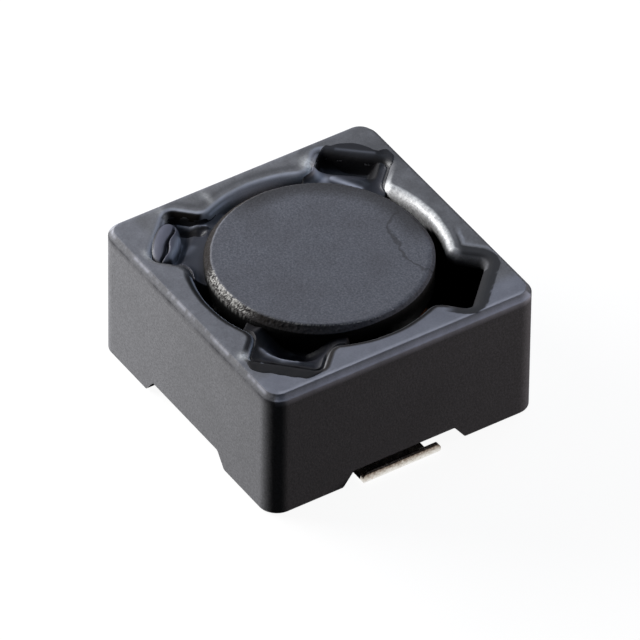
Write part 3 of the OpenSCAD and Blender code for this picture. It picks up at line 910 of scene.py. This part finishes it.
def epoxy(name):
    """Dark adhesive, paler where it is thin, with a painted sheen on its highest parts, painted highlights
    and painted shade.
    """
    look = Look(name)
    broad, fine = look.noise(1.3, 2), look.noise(9, 3, 0.6)
    pale, steep = look.painted("pale"), look.painted("steep")
    colour = look.ramp(broad, [(0.3, (0.014, 0.014, 0.019)), (0.7, (0.026, 0.027, 0.035))])
    colour = look.mix(pale, colour, (0.085, 0.088, 0.105))
    # Painted sheen on the highest parts
    colour = look.mix(look.painted("crown"), colour, (0.105, 0.108, 0.140))
    film = look.mix(pale, (0.014, 0.014, 0.017), (0.12, 0.12, 0.13))
    colour = look.mix(look.painted("film"), colour, film)
    # Painted shade on steep slopes and in hollows
    colour = look.mix(look.math("MULTIPLY", steep, 0.8), colour, (0.008, 0.007, 0.008))
    colour = look.mix(look.painted("gleam"), colour, (0.38, 0.40, 0.48))
    gloss = look.ramp(fine, [(0.3, 0.32), (0.7, 0.44)])
    look.set(Base_Color=colour, Roughness=look.mix(steep, gloss, (0.75, 0.75, 0.75)), Specular_IOR_Level=0.25,
             Normal=look.bump(broad, 0.6, 0.05, look.bump(fine, 0.4, 0.008)))
    return look.mat


def tin(name):
    """Tin plate with copper showing in blotches, darker toward the top of the lip: painted shade and
    reflection of the dark ring above.
    """
    look = Look(name)
    fine, blotch = look.noise(9, 4, 0.7), look.noise(2.2, 3, 0.6)
    place = look.nodes.new("ShaderNodeSeparateXYZ")
    look.links.new(look.coords, place.inputs[0])
    ragged = look.math("MULTIPLY", look.math("SUBTRACT", fine, 0.5), 0.9)
    height = look.math("MULTIPLY_ADD", place.outputs["Z"], 1 / (LIP_H * MM), ragged)
    # Painted shade and reflection: bright tin low on the lip, near black at its top
    plate = look.ramp(height, [(0.30, (0.84, 0.82, 0.78)), (0.55, (0.62, 0.58, 0.52)),
                               (0.80, (0.26, 0.21, 0.17)), (1.0, (0.07, 0.05, 0.04))])
    worn = look.ramp(blotch, [(0.66, 0.0), (0.74, 0.7)])
    look.set(Base_Color=look.mix(worn, plate, (0.42, 0.24, 0.16)), Metallic=1.0,
             Roughness=look.ramp(blotch, [(0.3, 0.22), (0.7, 0.40)]), Normal=look.bump(fine, 0.6, 0.02))
    return look.mat


def enamelled_copper(name):
    """Copper wire under clear enamel."""
    look = Look(name)
    fine = look.noise(5, 3, 0.6)
    look.set(Base_Color=look.ramp(fine, [(0.3, (0.36, 0.10, 0.035)), (0.7, (0.52, 0.17, 0.06))]),
             Metallic=0.6, Roughness=look.ramp(fine, [(0.3, 0.22), (0.7, 0.36)]), Coat_Weight=0.5)
    return look.mat


def moulding(name):
    """Black moulded plastic."""
    look = Look(name)
    fine = look.noise(8, 3, 0.6)
    look.set(Base_Color=look.ramp(fine, [(0.3, (0.010, 0.010, 0.011)), (0.7, (0.022, 0.022, 0.024))]),
             Roughness=look.ramp(fine, [(0.3, 0.45), (0.7, 0.6)]), Normal=look.bump(fine, 0.5, 0.01))
    return look.mat


# ---- Winding ----

def winding_path():
    """Middle line of the wire: four layers between the flanges, with both leads at the bottom."""
    pitch = 2 * WIRE_R + WIRE_GAP
    layer_1 = DRUM_R - WIND_MARGIN - WIRE_LAYERS * pitch + WIRE_R + 1.5 * WIRE_GAP
    layer_last = layer_1 + (WIRE_LAYERS - 1) * pitch
    low = DRUM_LOW + LOW_FLANGE + WIRE_R + WIRE_GAP
    high = DRUM_TOP - TOP_FLANGE - WIRE_R - WIRE_GAP
    bend = 2 * WIRE_R
    under = DRUM_LOW + LOW_FLANGE / 2 - WIRE_R
    dive_1, dive_last = (math.degrees(bend / r) for r in (layer_1, layer_last))
    spare = 180 - dive_1 - dive_last
    cross, step = 90, 7.5
    fit = (high - low) / pitch
    turns = math.floor((WIRE_LAYERS * fit * 360 + (WIRE_LAYERS - 1) * cross - spare) / 360)
    wound = turns * 360 + spare
    layer_angle = (wound - (WIRE_LAYERS - 1) * cross) / WIRE_LAYERS
    points = [(layer_last, 0.0, LEAD_LOW)]
    for a in np.radians(np.linspace(0, 90, 9)):
        points.append((layer_last - bend + bend * math.cos(a), 0.0, under - bend + bend * math.sin(a)))
    for a in np.radians(np.linspace(270, 180, 9)):
        points.append((layer_1 + bend + bend * math.cos(a), 0.0, under + bend + bend * math.sin(a)))

    def on_cylinder(r, angle, z):
        """Point at a radius, an angle in degrees and a height."""
        return r * math.cos(math.radians(angle)), r * math.sin(math.radians(angle)), z

    def dive(r, sweep, share):
        """Quarter bend from vertical into a layer, over a sweep in degrees."""
        a = math.radians(90 * share)
        return on_cylinder(r, sweep * (1 - math.cos(a)), low - bend * (1 - math.sin(a)))

    points += [dive(layer_1, dive_1, k / 8) for k in range(9)]
    for w in np.arange(step, wound - 3, step):
        stage = min(WIRE_LAYERS - 1, int(w // (layer_angle + cross)))
        done = w - stage * (layer_angle + cross)
        ease = max(0.0, done - layer_angle) / cross
        share = min(1.0, done / layer_angle)
        z = low + (high - low) * (share if stage % 2 == 0 else 1 - share)
        points.append(on_cylinder(layer_1 + pitch * (stage + ease * ease * (3 - 2 * ease)), w + dive_1, z))
    points += [(-x, -y, z) for x, y, z in (dive(layer_last, -dive_last, k / 8) for k in range(8, -1, -1))]
    points.append((-layer_last, 0.0, LEAD_LOW))
    kept = [np.array(points[0])]
    for p in points[1:]:
        if np.linalg.norm(np.array(p) - kept[-1]) > 0.02:
            kept.append(np.array(p))
    return np.array(kept)


def build_winding():
    """Round wire swept along its path."""
    path, radius, sides = winding_path(), WIRE_R - WIRE_SHRINK, 12
    tangent = np.gradient(path, axis=0)
    tangent /= np.linalg.norm(tangent, axis=1)[:, None]
    normal = np.array([0.0, 1.0, 0.0])
    rings = []
    for p, along in zip(path, tangent):
        normal = normal - along * (normal @ along)
        normal /= np.linalg.norm(normal)
        side = np.cross(along, normal)
        angle = np.arange(sides) / sides * 2 * math.pi
        rings.append(p + radius * (np.cos(angle)[:, None] * normal + np.sin(angle)[:, None] * side))
    faces = ring_faces(len(rings), sides)
    last = (len(rings) - 1) * sides
    faces += [tuple(range(sides - 1, -1, -1)), tuple(range(last, last + sides))]
    return make_mesh("winding_wire", np.vstack(rings), faces, 60)


# ---- Build ----

def finish_piece(obj, material, slot, *nodes):
    """Gives a piece its material and body, and hides the CAD nodes that it stands for. The slot is not used.
    """
    obj.data.materials.clear()
    obj.data.materials.append(material)
    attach(obj, "root")
    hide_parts(*nodes)


finish_piece(build_shield(), shield_ferrite("shield_ferrite"), "shield_ferrite", "shield_ring")
finish_piece(build_drum(), drum_ferrite("drum_ferrite"), "drum_ferrite", "drum_core")
ADHESIVE_LOOK = epoxy("adhesive")
for body in ADHESIVES:
    finish_piece(adhesive_patch(body), ADHESIVE_LOOK, "adhesive", body.node)
finish_piece(build_winding(), enamelled_copper("enamelled_wire"), "enamelled_wire", "winding")
for node, material in (("base_plate", moulding("base_moulding")), ("terminal_right", tin("tinned_strip")),
                       ("terminal_left", tin("tinned_strip_left")), ("solder_right", tin("solder")),
                       ("solder_left", tin("solder_left"))):
    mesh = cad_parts[node].data
    mesh.materials.clear()
    mesh.materials.append(material)


# ---- Stage ----

def build_camera():
    """Camera at the photograph's angle, with its axis and its focal length in the photograph's pixels."""
    a, e, r = (math.radians(v) for v in (CAMERA_AZIMUTH, CAMERA_ELEVATION, CAMERA_ROLL))
    back = Vector((math.sin(a) * math.cos(e), -math.cos(a) * math.cos(e), math.sin(e)))
    right = Vector((math.cos(a), math.sin(a), 0))
    up = right.cross(-back)
    right, up = right * math.cos(r) + up * math.sin(r), up * math.cos(r) - right * math.sin(r)
    cam = bpy.data.cameras.new("camera")
    obj = bpy.data.objects.new("camera", cam)
    bpy.context.scene.collection.objects.link(obj)
    place = Matrix((right, up, back)).transposed().to_4x4()
    place.translation = Vector((0, 0, CAMERA_TARGET_Z)) * MM + back * CAMERA_DISTANCE * MM
    obj.matrix_world = place
    cam.sensor_width = CAMERA_SENSOR
    cam.lens = CAMERA_FOCAL_PX * cam.sensor_width / PHOTO_PX
    cam.shift_x = (PHOTO_PX / 2 - CAMERA_AXIS_PX[0]) / PHOTO_PX
    cam.shift_y = (CAMERA_AXIS_PX[1] - PHOTO_PX / 2) / PHOTO_PX
    cam.clip_start = 0.01
    cam.clip_end = 10
    bpy.context.scene.camera = obj


def area_light(name, direction, size, level, colour=(1, 1, 1)):
    """Soft light from a direction; a level of 1 shows a colour facing it as it is written."""
    light = bpy.data.lights.new(name, "AREA")
    light.shape = "RECTANGLE"
    light.size, light.size_y = size[0] * MM, size[1] * MM
    light.energy = level * math.pi ** 2 * (LIGHT_DISTANCE * MM) ** 2
    light.color = colour
    obj = bpy.data.objects.new(name, light)
    bpy.context.scene.collection.objects.link(obj)
    toward = Vector(direction).normalized()
    obj.location = toward * LIGHT_DISTANCE * MM
    obj.rotation_mode = "QUATERNION"
    obj.rotation_quaternion = toward.to_track_quat("Z", "Y")


def build_floor():
    """Pale floor: it shows white to the camera and in reflections, and lights the object hardly at all."""
    mesh = bpy.data.meshes.new("floor")
    corners = [(-1, -1), (1, -1), (1, 1), (-1, 1)]
    mesh.from_pydata([(FLOOR_HALF_M * x, FLOOR_HALF_M * y, 0) for x, y in corners], [], [(0, 1, 2, 3)])
    obj = bpy.data.objects.new("floor", mesh)
    bpy.context.scene.collection.objects.link(obj)
    look = Look("floor")
    look.set(Base_Color=(0.11, 0.11, 0.11), Roughness=0.9, Specular_IOR_Level=0.1)
    path = look.nodes.new("ShaderNodeLightPath")
    seen = look.math("MAXIMUM", path.outputs["Is Camera Ray"], path.outputs["Is Glossy Ray"])
    glow = look.nodes.new("ShaderNodeEmission")
    glow.inputs["Strength"].default_value = 0.93
    both = look.nodes.new("ShaderNodeAddShader")
    look.links.new(look.shader.outputs[0], both.inputs[0])
    look.links.new(glow.outputs[0], both.inputs[1])
    dark = look.nodes.new("ShaderNodeBsdfDiffuse")
    dark.inputs["Color"].default_value = (0.03, 0.03, 0.03, 1)
    pick = look.nodes.new("ShaderNodeMixShader")
    for socket, output in zip(pick.inputs, (seen, dark.outputs[0], both.outputs[0])):
        look.links.new(output, socket)
    look.links.new(pick.outputs[0], look.nodes["Material Output"].inputs["Surface"])
    mesh.materials.append(look.mat)


def build_world():
    """White backdrop for the camera, and next to no light for anything else."""
    world = bpy.data.worlds.new("world")
    bpy.context.scene.world = world
    world.use_nodes = True
    nodes, links = world.node_tree.nodes, world.node_tree.links
    nodes.clear()
    out = nodes.new("ShaderNodeOutputWorld")
    path = nodes.new("ShaderNodeLightPath")
    ambient = nodes.new("ShaderNodeBackground")
    ambient.inputs["Color"].default_value = (0.010, 0.010, 0.011, 1)
    white = nodes.new("ShaderNodeBackground")
    white.inputs["Color"].default_value = (1, 1, 1, 1)
    mix = nodes.new("ShaderNodeMixShader")
    links.new(path.outputs["Is Camera Ray"], mix.inputs["Fac"])
    links.new(ambient.outputs[0], mix.inputs[1])
    links.new(white.outputs[0], mix.inputs[2])
    links.new(mix.outputs[0], out.inputs["Surface"])


build_camera()
build_floor()
build_world()
area_light("key_left", (-0.83, -0.53, 0.33), (70, 56), 2.35)
area_light("side_right", (0.34, 0.94, 0.16), (30, 30), 0.40, (1.0, 0.90, 0.88))
area_light("sky_back", (-0.18, 0.68, 0.70), (40, 44), 0.16, (0.70, 0.83, 1.0))
area_light("overhead", (-0.05, 0.28, 1.0), (90, 60), 0.15, (0.66, 0.80, 1.0))
bpy.context.scene.view_settings.view_transform = "Standard"
